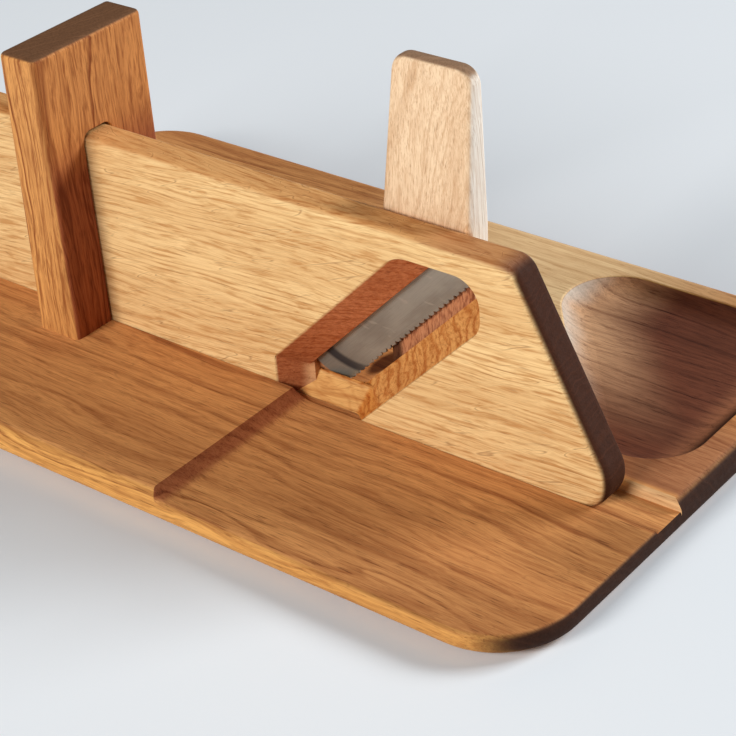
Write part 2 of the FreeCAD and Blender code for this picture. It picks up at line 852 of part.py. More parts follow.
def kerf_tool():
    """The pocket that holds the blade, round at its lower end and a little longer than the blade."""
    item = body("kerf_tool")
    window_frame(item)
    start = "blade_start - blade_tip_gap"
    end = "blade_start + blade_length + blade_end_gap"
    left = "-blade_width - kerf_gap"
    sketch = rectangle(item, "XZ_Plane", left, start, 0, end)
    in_blade_plane(sketch)
    pad(item, sketch, "blade_thickness + kerf_gap")
    corner = nearest_edge(item, left, start)
    round_edges(item, f"{BLADE_TIP_RADIUS} + blade_tip_gap", lambda e: same_edge(e, corner))
    return item


def blade_holes():
    """Round tools in the window's frame, square to the plank, where the blade's screws pass."""
    return [
        cylinder(
            f"blade_hole_{i + 1}",
            "blade_screw_diameter + 2 * blade_hole_gap",
            f"plank_thickness + 2 * {OVERRUN}",
            BLADE_SCREW_RUN,
            -OVERRUN,
            f"blade_start + blade_screw_start + {i} * blade_screw_pitch",
            FreeCAD.Vector(1, 0, 0),
            -90,
        )
        for i in (0, 1)
    ]


def blade_screw_x(w):
    """X of a blade screw, from its place up the slant."""
    return f"{GATE_RIGHT} + window_upper_cut / 2 + ({BLADE_SCREW_RUN} + {w}) / sqrt(2)"


def blade_screw_z(w):
    """Z of a blade screw, from its place up the slant."""
    return f"{TOP} - window_upper_cut / 2 + ({w} - {BLADE_SCREW_RUN}) / sqrt(2)"


def nearest_edge(host, across, up):
    """The middle of the short edge of a blade-like plate that stands at one of its corners."""
    tilt = math.radians(value("blade_angle"))
    run = value("teeth_run") + value(across) * math.cos(tilt)
    target = FreeCAD.Vector(run, 0, value(up))
    short = [e for e in host.Tip.Shape.Edges if e.Length < 2 * value("blade_thickness")]
    edge = min(short, key=lambda e: gap_in_plane(e.CenterOfMass, target))
    return edge.CenterOfMass


def gap_in_plane(a, b):
    """How far apart two points are, seen square to the plank."""
    return math.hypot(a.x - b.x, a.z - b.z)


def same_edge(edge, middle):
    """Whether an edge has this middle."""
    return edge.CenterOfMass.distanceToPoint(middle) < 0.001


def blade():
    """The toothed blade: round at its lower buried corner, ground along its teeth."""
    item = body("blade")
    window_frame(item)
    end = "blade_start + blade_length"
    outline = [
        ("-blade_width", "blade_start"),
        ("-blade_tip_run", "blade_start"),
        (0, "blade_start + blade_tip_slant"),
        (0, end),
        ("-blade_width", end),
    ]
    sketch = polygon(item, "XZ_Plane", outline)
    in_blade_plane(sketch)
    pad(item, sketch, "blade_thickness")
    tip = nearest_edge(item, "-blade_width", "blade_start")
    round_edges(item, BLADE_TIP_RADIUS, lambda e: same_edge(e, tip))
    corner = nearest_edge(item, "-blade_width", end)
    round_edges(item, "blade_corner_radius", lambda e: same_edge(e, corner))
    base = item.Tip
    name = teeth_edge(item)
    ground = item.newObject("PartDesign::Chamfer", "blade_grind")
    ground.Base = (base, [name])
    bind(ground, Size="blade_bevel")
    doc.recompute()
    middle = "blade_start + blade_tip_slant + tooth_pitch / 2"
    spread = "tooth_notch_width / 2 * (tooth_depth + 1) / tooth_depth"
    notch = [
        ("-tooth_depth", middle),
        (1, f"{middle} - {spread}"),
        (1, f"{middle} + {spread}"),
    ]
    sketch = polygon(item, "XZ_Plane", notch)
    in_blade_plane(sketch)
    first = pocket(item, sketch, f"blade_thickness + {OVERRUN}", forwards=True)
    row = item.newObject("PartDesign::LinearPattern", "tooth_row")
    row.Originals = [first]
    row.Direction = (sketch, ["V_Axis"])
    count = "floor((blade_length - blade_tip_slant) / tooth_pitch)"
    bind(row, Length=f"tooth_pitch * ({count} - 1)", Occurrences=count)
    item.Tip = row
    doc.recompute()
    combine(item, "Cut", blade_holes())
    return item


def teeth_edge(host):
    """The name of the teeth's long edge on the blade's front face."""
    edges = host.Tip.Shape.Edges
    teeth = [
        i
        for i, e in enumerate(edges)
        if e.Length > value("blade_length") / 2 and e.CenterOfMass.x > value("teeth_run") - 2
    ]
    front = min(teeth, key=lambda i: edges[i].CenterOfMass.y)
    return f"Edge{front + 1}"


def slider():
    """The plank with its sloping nose, hand hole, window, kerf and thinned land."""
    low = f"{PLANK_BOTTOM} - plank_foot_trim"
    nose = f"{GATE_RIGHT} + nose_reach"
    item = body("slider")
    outline = [
        (f"{GATE_RIGHT} - tail_reach", low),
        (f"{nose} + nose_slope * ({TOP} - ({low}))", low),
        (f"{nose} - nose_slope * plank_rise", PLANK_TOP),
        (f"{GATE_RIGHT} - tail_reach", PLANK_TOP),
    ]
    pad(item, polygon(item, "XZ_Plane", outline, f"-{PLANK_BACK}"), "plank_thickness")
    radii = ["tail_bottom_radius", "nose_tip_radius", "nose_top_radius", "tail_top_radius"]
    for corner, radius in zip(outline, radii):
        round_edges(item, radius, lambda e, corner=corner: at_corner(e, corner))
    round_edges(item, "plank_edge_radius", on_plank_face)
    hole_left = f"{GATE_RIGHT} - tail_reach + hand_hole_margin"
    hole = rectangle(
        item,
        "XZ_Plane",
        hole_left,
        f"{TOP} + hand_hole_rise - hand_hole_height / 2",
        f"{hole_left} + hand_hole_width",
        f"{TOP} + hand_hole_rise + hand_hole_height / 2",
        f"-{PLANK_FRONT} + 1",
    )
    pocket(item, hole, "plank_thickness + 2")
    first = value(hole_left) - 1
    last = first + value("hand_hole_width") + 2

    def in_hand_hole(edge):
        return first < edge.BoundBox.XMin and edge.BoundBox.XMax < last

    round_edges(
        item, "hand_hole_width / 2 - 0.05", lambda e: in_hand_hole(e) and along(e, "Y")
    )
    round_edges(item, "hand_hole_edge_radius", lambda e: in_hand_hole(e) and on_plank_face(e))
    foot = body("foot_trim")
    sketch = rectangle(
        foot,
        "XZ_Plane",
        f"{GATE_RIGHT} - tail_reach - {OVERRUN}",
        f"{low} - {OVERRUN}",
        f"{nose} + tail_reach",
        PLANK_BOTTOM,
        f"-{PLANK_BACK} - {OVERRUN}",
    )
    pad(foot, sketch, f"plank_thickness + 2 * {OVERRUN}")
    tools = [foot, window_tool(), kerf_tool(), land_tool(), stop_slot_tool()]
    combine(item, "Cut", tools + blade_screw_tools())
    return item


def on_plank_face(edge):
    """Whether an edge lies in the plank's front or back face."""
    return flat(edge, "Y", PLANK_FRONT) or flat(edge, "Y", PLANK_BACK)


def land_tool():
    """The thin wood taken off the plank's back ahead of the blade."""
    item = body("land_tool")
    throat = f"{GATE_RIGHT} + window_upper_cut + sqrt(2) * (teeth_run + throat_width)"
    nose = f"{GATE_RIGHT} + nose_reach - land_end_margin"
    outline = [
        (f"{throat} + land_low", f"{TOP} + land_low"),
        (f"{nose} - nose_slope * land_low", f"{TOP} + land_low"),
        (f"{nose} - nose_slope * land_high", f"{TOP} + land_high"),
        (f"{throat} + land_high", f"{TOP} + land_high"),
    ]
    sketch = polygon(item, "XZ_Plane", outline, f"-{PLANK_BACK} - {OVERRUN}")
    pad(item, sketch, f"slice_thickness + {OVERRUN}")
    return item


def stop_slot_tool():
    """The slot in the plank's underside that rides over the stop pin."""
    item = body("stop_slot_tool")
    reach = "(pin_diameter / 2 + stop_gap)"
    sketch = rectangle(
        item,
        "XY_Plane",
        f"{PIN_X} - travel_right - {reach}",
        f"{PLANK_MIDDLE} - (pin_diameter / 2 + stop_slot_gap)",
        f"{PIN_X} + travel_left + {reach}",
        f"{PLANK_MIDDLE} + (pin_diameter / 2 + stop_slot_gap)",
        f"{PLANK_BOTTOM} - {OVERRUN}",
    )
    pad(item, sketch, f"{TOP} + stop_slot_rise - {PLANK_BOTTOM} + {OVERRUN}")
    round_edges(item, "(pin_diameter / 2 + stop_slot_gap) - 0.05", lambda e: along(e, "Z"))
    return item


def blade_screw_tools():
    """Countersunk holes from the plank's back for the blade's screws."""
    tools = []
    half_head = "blade_screw_head / 2"
    half_shank = "(blade_screw_diameter / 2 + fit_gap)"
    sink = "(blade_screw_head / 2 - blade_screw_diameter / 2)"
    for i in (0, 1):
        w = f"(blade_start + blade_screw_start + {i} * blade_screw_pitch)"
        profile = [
            (0, f"-{BLADE_SCREW_LENGTH} - 0.5"),
            (half_shank, f"-{BLADE_SCREW_LENGTH} - 0.5"),
            (half_shank, f"-{sink} - blade_screw_sink"),
            (f"{half_head} + fit_gap", "-blade_screw_sink"),
            (f"{half_head} + fit_gap", 1),
            (0, 1),
        ]
        spot = (blade_screw_x(w), PLANK_BACK, blade_screw_z(w))
        backwards = FreeCAD.Vector(1, 0, 0)
        tools.append(turned(f"blade_screw_hole_{i + 1}", profile, *spot, backwards, -90))
    return tools


def blade_screws():
    """Two countersunk screws that hold the blade in its kerf, driven from the plank's back."""
    screws = []
    half_head = "blade_screw_head / 2"
    half_shank = "blade_screw_diameter / 2"
    sink = f"({half_head} - {half_shank})"
    for i in (0, 1):
        w = f"(blade_start + blade_screw_start + {i} * blade_screw_pitch)"
        profile = [
            (0, f"-{BLADE_SCREW_LENGTH}"),
            ("blade_screw_diameter / 6", f"-{BLADE_SCREW_LENGTH}"),
            (half_shank, f"-{BLADE_SCREW_LENGTH} + blade_screw_tip"),
            (half_shank, f"-{sink} - blade_screw_sink"),
            (half_head, "-blade_screw_sink"),
            (0, "-blade_screw_sink"),
        ]
        spot = (blade_screw_x(w), PLANK_BACK, blade_screw_z(w))
        backwards = FreeCAD.Vector(1, 0, 0)
        screw = turned(f"blade_screw_{i + 1}", profile, *spot, backwards, -90)
        slots = []
        arms = [
            ("blade_screw_slot_length", "blade_screw_slot_width"),
            ("blade_screw_slot_width", "blade_screw_slot_length"),
        ]
        for j, (wide, tall) in enumerate(arms, start=1):
            slot = doc.addObject("Part::Box", f"blade_screw_{i + 1}_slot_{j}")
            bind(slot, Length=wide, Width=tall, Height="blade_screw_slot_depth + 1")
            bottom = "-blade_screw_sink - blade_screw_slot_depth"
            place(slot, f"-{wide} / 2", f"-{tall} / 2", bottom)
            slots.append(slot)
        combine(screw, "Cut", slots)
        screws.append(screw)
    return group("blade_screws", screws)


# Fasteners and feet


def frame_screws():
    """Socket head screws from below into the uprights' inserts."""
    screws = []
    for i, (x, y) in enumerate(SCREW_PLACES, start=1):
        profile = [
            (0, "-screw_head_height"),
            ("screw_head_diameter / 2 - 0.5", "-screw_head_height"),
            ("screw_head_diameter / 2", "-screw_head_height + 0.5"),
            ("screw_head_diameter / 2", 0),
            ("screw_diameter / 2", 0),
            ("screw_diameter / 2", f"{SCREW_LENGTH} - 0.8"),
            ("screw_diameter / 2 - 0.8", SCREW_LENGTH),
            (0, SCREW_LENGTH),
        ]
        seat = f"{SCREW_SEAT} - washer_thickness"
        screw = turned(f"frame_screw_{i}", profile, x, y, seat)
        socket = doc.addObject("Part::Prism", f"frame_screw_{i}_socket")
        socket.Polygon = 6
        bind(socket, Circumradius="screw_socket_width / sqrt(3)", Height="screw_socket_depth + 1")
        place(socket, 0, 0, "-screw_head_height - 1")
        combine(screw, "Cut", [socket])
        screws.append(screw)
    return group("frame_screws", screws)


def rings(name, inner, outer_radius, height, z):
    """A ring round each frame screw."""
    profile = [(inner, 0), (outer_radius, 0), (outer_radius, height), (inner, height)]
    pieces = [
        turned(f"{name}_{i}", profile, x, y, z) for i, (x, y) in enumerate(SCREW_PLACES, start=1)
    ]
    return group(name, pieces)


def locating_dowels():
    """Chamfered dowels that keep the uprights from turning."""
    length = "(dowel_board_depth + dowel_leg_depth)"
    radius = "dowel_diameter / 2"
    profile = [
        (0, 0),
        (f"{radius} - dowel_chamfer", 0),
        (radius, "dowel_chamfer"),
        (radius, f"{length} - dowel_chamfer"),
        (f"{radius} - dowel_chamfer", length),
        (0, length),
    ]
    bottom = f"{TOP} - dowel_board_depth"
    pieces = [
        turned(f"locating_dowel_{i}", profile, x, y, bottom)
        for i, (x, y) in enumerate(DOWEL_PLACES, start=1)
    ]
    return group("locating_dowels", pieces)


def stop_pin():
    """The steel pin in the groove's floor that the plank's slot rides over."""
    length = "pin_seat + pin_height"
    radius = "pin_diameter / 2"
    profile = [
        (0, 0),
        (f"{radius} - dowel_chamfer", 0),
        (radius, "dowel_chamfer"),
        (radius, f"{length} - dowel_chamfer"),
        (f"{radius} - dowel_chamfer", length),
        (0, length),
    ]
    return turned("stop_pin", profile, PIN_X, PLANK_MIDDLE, f"{GROOVE_FLOOR} - pin_seat")


def feet():
    """Soft feet with a stem, pressed into the board from below."""
    radius = "foot_diameter / 2"
    stem = "foot_stem_diameter / 2"
    profile = [
        (0, 0),
        (f"{radius} - foot_edge_radius", 0),
        (radius, "foot_edge_radius"),
        (radius, "foot_height"),
        (stem, "foot_height"),
        (stem, "foot_height + foot_stem_length"),
        (0, "foot_height + foot_stem_length"),
    ]
    pieces = [turned(f"foot_{i}", profile, x, y) for i, (x, y) in enumerate(FOOT_PLACES, start=1)]
    return group("feet", pieces)


PIECES = [
    base_board(),
    gate(),
    fence(),
    slider(),
    blade(),
    blade_screws(),
    frame_screws(),
    rings(
        "frame_washers",
        "screw_diameter / 2 + screw_hole_gap",
        "washer_diameter / 2",
        "washer_thickness",
        f"{SCREW_SEAT} - washer_thickness",
    ),
    rings(
        "threaded_inserts",
        "screw_diameter / 2 + fit_gap",
        "insert_diameter / 2",
        "insert_length",
        TOP,
    ),
    locating_dowels(),
    stop_pin(),
    feet(),
]
doc.recompute()
for item in doc.Objects:
    if "Invalid" in item.State or "Error" in item.State:
        raise RuntimeError(f"{item.Label} failed: {item.State}")
os.makedirs("parts", exist_ok=True)
for item in PIECES:
    shape = item.Shape
    if shape.isNull() or not shape.isValid():
        raise RuntimeError(f"{item.Label} has no valid shape")
    shape.exportStep(f"parts/{item.Label}.step")
    print(item.Label, len(shape.Solids), round(shape.Volume), shape.BoundBox)
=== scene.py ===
from math import radians

import bpy
from mathutils import Matrix, Vector

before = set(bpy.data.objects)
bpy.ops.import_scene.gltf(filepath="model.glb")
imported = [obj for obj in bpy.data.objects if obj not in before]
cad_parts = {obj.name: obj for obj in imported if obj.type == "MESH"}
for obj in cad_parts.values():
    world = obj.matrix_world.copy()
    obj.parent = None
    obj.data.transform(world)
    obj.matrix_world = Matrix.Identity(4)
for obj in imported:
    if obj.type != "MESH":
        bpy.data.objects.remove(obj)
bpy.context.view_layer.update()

MM_PER_M = 1000.0
NOISE_MIDDLE = (0.5, 0.5, 0.5)

# Turns that bring a piece's grain to the X axis
LYING = (0.0, 0.0, 0.0)
UPRIGHT = (0.0, radians(90), 0.0)
BOARD_TURN = (0.0, 0.0, radians(0.8))
PLANK_TURN = (0.0, radians(3), 0.0)

# Depths of bumps, in metres
PORE_BUMP = 0.00012
FIBRE_BUMP = 0.00004
RUBBER_BUMP = 0.00003
SCRATCH_BUMP = 0.00001

# Oak: how far its grain bends across itself in slow bends and in small ones, in mm
WANDER_REACH = 26.0
RIPPLE_REACH = 4.0
# How the gap between its rings changes: noise per mm of radius, and by how many rings
RING_DRIFT_SCALE = 0.035
RING_DRIFT = 5.0
RING_PEAK = 0.16  # where a ring is darkest, as a part of its gap
RING_CHANGE_SCALE = 0.83  # noise per ring that makes each ring its own
STROKE_SCALE = 0.045  # noise per mm along a stroke
FLECK_LAYERS = 7.0  # layers of ray flecks over the range of one noise
OAK_SHINE = 0.10

# Oak's noises: scale per mm along the grain and twice across it, offsets across it that make each
# noise its own, detail and roughness
OAK_NOISES = {
    "wander": ((0.0045, 0.016, 0.016), (3.1, 7.7), 2.0, 0.5),
    "ripple": ((0.022, 0.12, 0.12), (1.3, 2.9), 2.0, 0.5),
    "fading": ((0.012, 0.09, 0.09), (2.2, 5.5), 2.0, 0.5),
    "pores": ((0.075, 1.5, 1.5), (5.0, 9.0), 2.0, 0.6),
    "fine_pores": ((0.16, 3.6, 3.6), (2.0, 4.0), 1.0, 0.5),
    "broad": ((0.0025, 0.035, 0.035), (8.0, 1.0), 2.0, 0.5),
    "streak": ((0.006, 0.4, 0.4), (6.0, 3.0), 3.0, 0.6),
    "hair": ((0.03, 1.9, 1.9), (9.0, 2.0), 4.0, 0.65),
    "fleck_sheet": ((0.016, 0.10, 0.20), (4.0, 6.0), 1.0, 0.5),
    "fleck_break": ((0.028, 0.12, 0.16), (7.0, 2.0), 1.0, 0.5),
    "specks": ((0.3, 1.1, 1.1), (3.0, 3.0), 3.0, 0.6),
}

# The marks below are placed in mm. Two numbers say where a mark starts and where it is full, and
# four also say where it then starts to fade and where it ends. Names in _TILT do the same for a
# part of the face's normal.

# Marks on the plank
PLANK_TOP_Z = (112.0, 117.0)
PLANK_TOP_TILT = (0.35, 0.8)
PLANK_TOP_RIGHT_X = (102.0, 124.0)
PLANK_NOSE_X = (148.0, 160.0)
BACK_EDGE_Z = (115.0, 118.0)
BACK_EDGE_TILT = (0.3, 0.6)
WINDOW_X = (14.0, 16.0, 144.0, 146.0)
WINDOW_Y = (-42.9, -42.3)
WINDOW_Z = (113.5, 112.5)
WINDOW_ACROSS = (0.72, 0.0, -0.69)  # square to the window's slanted lines
RAMP_TILT = (0.05, 0.3)
FLARE_TILT = (-0.25, -0.6)
SILL_Z = (26.0, 22.0)
SILL_TILT = (0.2, 0.5)
HEEL_Z = (52.0, 24.0)
HEEL_END_X = (31.0, 38.5)
HEEL_END_Z = (32.0, 25.0)
HEEL_END_TILT = (-0.4, -0.1)
# Growth lines on the window's flared wall: turns per mm, how far they wave, and their shape
FLARE_LINES = (0.086, 0.032, 0.086)
FLARE_WAVE_SCALE = (0.05, 0.09, 0.05)
FLARE_WAVE_OFFSET = (3.0, 1.0, 2.0)
FLARE_WAVE = 3.0
FLARE_LINE_SHAPE = (0.0, 0.32, 0.34, 0.62)

# Marks on the gate and on the fence
GATE_SIDE_TILT = (0.5, 0.85)
GATE_SHADOW_Z = (128.0, 96.0)
FENCE_SHADE_Z = (121.0, 112.0)
FENCE_SHADE_TILT = (-0.1, -0.4)
FENCE_SHEEN_Z = (98.0, 106.0)
FENCE_SHEEN_TILT = (0.5, 0.9)
FENCE_THROAT_SHADE_X = (86.0, 82.0)

# Marks on the board
TOP_Z = (17.2, 17.7)
HOLLOW_Z = (17.7, 17.2)
SHADED_TOP_Z = (17.0, 17.7)
FRONT_TILT = (-0.25, -0.7)
BOARD_WAVE_SCALE = (0.008, 0.05, 0.05)
BOARD_WAVE_OFFSET = (4.0, 4.0, 1.0)
SAPWOOD_AND_LIGHT_X = (-70.0, 50.0, 88.0, 205.0)
SAPWOOD_AND_LIGHT_Y = (60.0, 110.0)
SAPWOOD_AND_LIGHT_WAVE = 60.0
DISH_X = (84.0, 88.0, 222.0, 224.0)
DISH_Y = (-22.0, -18.0, 134.0, 136.0)
DISH_TILT = (0.2, 0.5)
DISH_RIM_TILT = (0.05, 0.2)
DISH_RIGHT_X = (196.0, 214.0)
# The dish's left wall and its slanted wall, from which the painted sheen reaches inward
DISH_LEFT = 91.5
SLANT_INWARD = (0.785, 0.62, 0.0)
SLANT_START = 129.8
SHEEN_WAVE = 16.0
SHEEN_REACH = (60.0, 18.0)
SHEEN_Y = (6.0, 85.0)
WHITE_SHEEN_REACH = (22.0, 6.0)
NOSE_SHADE_X = (170.0, 196.0)
NOSE_SHADE_Y = (-23.0, -19.0, 20.0, 62.0)
THROAT_SHADE_PLACE = (55.0, -3.0, 0.0)
THROAT_SHADE_SHAPE = (1.6, 0.6, 0.0)
THROAT_SHADE_REACH = (9.0, 5.0)
TRAY_TILT = (0.5, 0.8)
TRAY_RIGHT_X = (150.0, 215.0)
TRAY_RIGHT_Y = (-110.0, -75.0, -47.0, -44.0)
TRAY_FRONT_X = (80.0, 160.0)
TRAY_FRONT_Y = (-102.0, -122.0)
GROOVE_LIP_Y = (-30.0, -25.0, -20.0, -18.0)
GROOVE_LIP_TILT = (-0.2, -0.5)
TRAY_WALL_X = (80.0, 70.0)
TRAY_WALL_Y = (-30.0, -34.0)
TRAY_WALL_TILT = (0.1, 0.4)

# Marks on the blade: its direction, its low end along that, and the painted shadow of the gap round
# its tip
BLADE_TURN = (0.0, radians(45), 0.0)
SMEAR_TURN = (0.0, radians(-20), 0.0)
BLADE_ALONG = (0.707, 0.0, 0.707)
BLADE_LOW_END = (84.0, 58.0)
TIP_GAP_SHADOW_CENTRE = (66.0, 52.0)
TIP_GAP_SHADOW_REACH = (19.0, 21.5, 24.5, 27.0)

# The table and the lamps, in metres and watts
TABLE_REACH = 9
TABLE_ROUGHNESS = 0.6
LAMP_TARGET = (0.0, 0.0, 0.05)
LAMPS = [
    ("key", (-0.60, -3.86, 2.07), (1.8, 1.8), 176, (1.0, 0.98, 0.95)),
    ("window_behind", (2.40, 3.12, 2.23), (1.8, 1.4), 208, (0.95, 0.98, 1.0)),
]
SKY_COLOUR = (0.84, 0.90, 1.0, 1.0)
SKY_STRENGTH = 0.10

# The photograph's view: where it stood, in metres, and two of its axes
CAMERA_PLACE = (0.61827, -0.68291, 0.56396)
CAMERA_RIGHT = (0.7873, 0.6133, -0.0627)
CAMERA_AHEAD = (-0.5478, 0.6493, -0.5274)
CAMERA_LENS_MM = 105.72
CAMERA_SENSOR_MM = 36.0
CAMERA_NEAREST = 0.01


class Graph:
    """Builds the nodes of one material."""

    def __init__(self, name):
        self.material = bpy.data.materials.new(name)
        self.material.use_nodes = True
        self.tree = self.material.node_tree
        self.shader = self.tree.nodes["Principled BSDF"]

    def add(self, kind, inputs, **settings):
        made = self.tree.nodes.new(kind)
        for key, value in settings.items():
            setattr(made, key, value)
        for key, value in inputs.items():
            self.feed(made.inputs[key], value)
        return made

    def feed(self, socket, value):
        if isinstance(value, bpy.types.NodeSocket):
            self.tree.links.new(value, socket)
        else:
            socket.default_value = value

    def surface(self):
        """The place on the piece in mm, and its normal. Both stay with the piece when it moves."""
        coords = self.add("ShaderNodeTexCoord", {}).outputs
        return self.vector("MULTIPLY", coords["Object"], (MM_PER_M,) * 3), coords["Normal"]

    def math(self, operation, a, b=0.0, c=0.0):
        return self.add("ShaderNodeMath", {0: a, 1: b, 2: c}, operation=operation).outputs[0]

    def product(self, first, *others):
        for other in others:
            first = self.math("MULTIPLY", first, other)
        return first

    def vector(self, operation, a, b=(0.0, 0.0, 0.0)):
        made = self.add("ShaderNodeVectorMath", {0: a, 1: b}, operation=operation)
        return made.outputs["Value" if operation in ("DOT_PRODUCT", "LENGTH") else "Vector"]

    def turned(self, vector, turn, shift=0.0):
        """The vector turned, and then moved along X."""
        inputs = {"Vector": vector, "Rotation": turn, "Location": (shift, 0.0, 0.0)}
        return self.add("ShaderNodeMapping", inputs).outputs["Vector"]

    def noise(
        self, vector, scale, offset=(0.0, 0.0, 0.0), detail=2.0, roughness=0.5, output="Fac"
    ):
        mapping = {"Vector": vector, "Scale": scale, "Location": offset}
        place = self.add("ShaderNodeMapping", mapping).outputs["Vector"]
        inputs = {"Vector": place, "Scale": 1.0, "Detail": detail, "Roughness": roughness}
        return self.add("ShaderNodeTexNoise", inputs).outputs[output]

    def oak_noise(self, kind, vector, seed, output="Fac"):
        scale, across, detail, roughness = OAK_NOISES[kind]
        return self.noise(vector, scale, (seed, *across), detail, roughness, output)

    def noise_along(self, value, scale, detail):
        inputs = {"W": value, "Scale": scale, "Detail": detail}
        return self.add("ShaderNodeTexNoise", inputs, noise_dimensions="1D").outputs["Fac"]

    def range(self, value, low, high, to_low=0.0, to_high=1.0, smooth=True):
        """Goes from to_low at low to to_high at high, of which low may be the larger."""
        inputs = {
            "Value": value, "From Min": low, "From Max": high, "To Min": to_low, "To Max": to_high,
        }
        kind = "SMOOTHSTEP" if smooth else "LINEAR"
        return self.add("ShaderNodeMapRange", inputs, interpolation_type=kind).outputs["Result"]

    def between(self, value, start, full, fading, end):
        """Rises from start to full and falls from fading to end."""
        return self.product(self.range(value, start, full), self.range(value, end, fading))

    def mix(self, factor, a, b, blend="MIX"):
        inputs = {0: factor, 6: a, 7: b}
        made = self.add(
            "ShaderNodeMix", inputs, data_type="RGBA", blend_type=blend, clamp_result=True
        )
        return made.outputs[2]

    def split(self, vector):
        return self.add("ShaderNodeSeparateXYZ", {0: vector}).outputs

    def join(self, x, y, z):
        return self.add("ShaderNodeCombineXYZ", {0: x, 1: y, 2: z}).outputs[0]

    def bump(self, height, distance, strength, under=None):
        inputs = {"Height": height, "Distance": distance, "Strength": strength}
        if under is not None:
            inputs["Normal"] = under
        return self.add("ShaderNodeBump", inputs).outputs["Normal"]

    def finish(self, **values):
        for key, value in values.items():
            self.feed(self.shader.inputs[key.replace("_", " ")], value)
        return self.material


def srgb(red, green, blue):
    """A colour written as it looks, in the linear values that shaders take."""
    def linear(v):
        v /= 255
        return v / 12.92 if v <= 0.04045 else ((v + 0.055) / 1.055) ** 2.4
    return (linear(red), linear(green), linear(blue), 1.0)


def times(colour, factor):
    """The colour with its brightness multiplied."""
    return tuple(part * factor for part in colour[:3]) + (1.0,)


def tint(red, green, blue):
    """Factors for the wood's red, green and blue."""
    return (red, green, blue, 1.0)


def shade(mask, change, pale_ends=False):
    """One face or place that looks unlike the rest.

    change is a tint, or a pair with the darkest and the palest colour to take instead of the
    wood's own. With pale_ends its end grain doesn't go dark.
    """
    return mask, change, pale_ends


